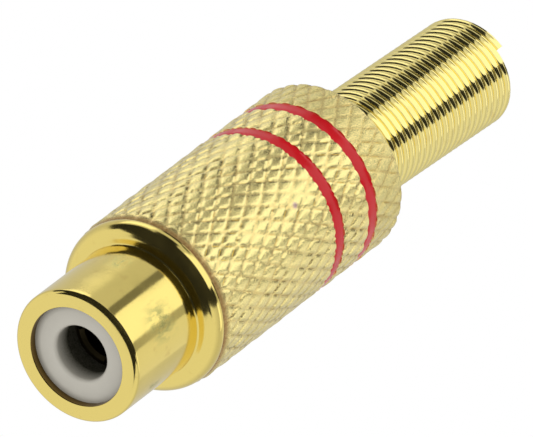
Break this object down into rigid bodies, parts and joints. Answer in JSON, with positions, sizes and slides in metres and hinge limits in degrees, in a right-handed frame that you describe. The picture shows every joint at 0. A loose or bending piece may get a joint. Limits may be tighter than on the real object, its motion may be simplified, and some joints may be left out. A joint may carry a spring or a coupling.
{
  "type": "rca socket",
  "caption": "Inline phono socket for a cable's end: plated barrel with insulated centre contact, screw-on knurled shell with red bands, and a spring strain relief.",
  "frame": {"origin": "centre of the barrel's front face, which is also the part's lowest plane", "axes": "+Z along the socket's axis from the mouth towards the cable; -Y towards the tail of the ground lug"},
  "size_m": [0.0108, 0.0108, 0.0412],
  "materials": {
    "body_plating": "polished gold plating",
    "front_insulator_plastic": "white moulded plastic",
    "rear_insulator_plastic": "white moulded plastic",
    "contact_plating": "gold plating",
    "lug_plating": "gold plated sheet",
    "sleeve_plastic": "black plastic tube",
    "shell_plating": "pale gold plating over a knurl",
    "front_band_enamel": "glossy red enamel",
    "rear_band_enamel": "glossy red enamel",
    "spring_plating": "gold plated spring wire"
  },
  "bodies": {
    "socket": {"socket_body": "body_plating", "front_insulator": "front_insulator_plastic", "rear_insulator": "rear_insulator_plastic", "centre_contact": "contact_plating", "ground_lug": "lug_plating"},
    "sleeve": {"insulating_sleeve": "sleeve_plastic"},
    "shell": {"shell": "shell_plating", "front_band": "front_band_enamel", "rear_band": "rear_band_enamel", "strain_relief_spring": "spring_plating"}
  },
  "joints": [
    {"name": "shell_travel", "type": "slide", "parent": "socket", "child": "sleeve", "axis": [0, 0, 1], "range_m": [0, 0.005]},
    {"name": "shell_screw", "type": "hinge", "parent": "sleeve", "child": "shell", "pos_m": [0, 0, 0], "axis": [0, 0, 1], "range_deg": [0, 2400]}
  ],
  "couplings": [
    {"joint": "shell_travel", "follows": "shell_screw", "m_per_rad": 0.00011937}
  ]
}
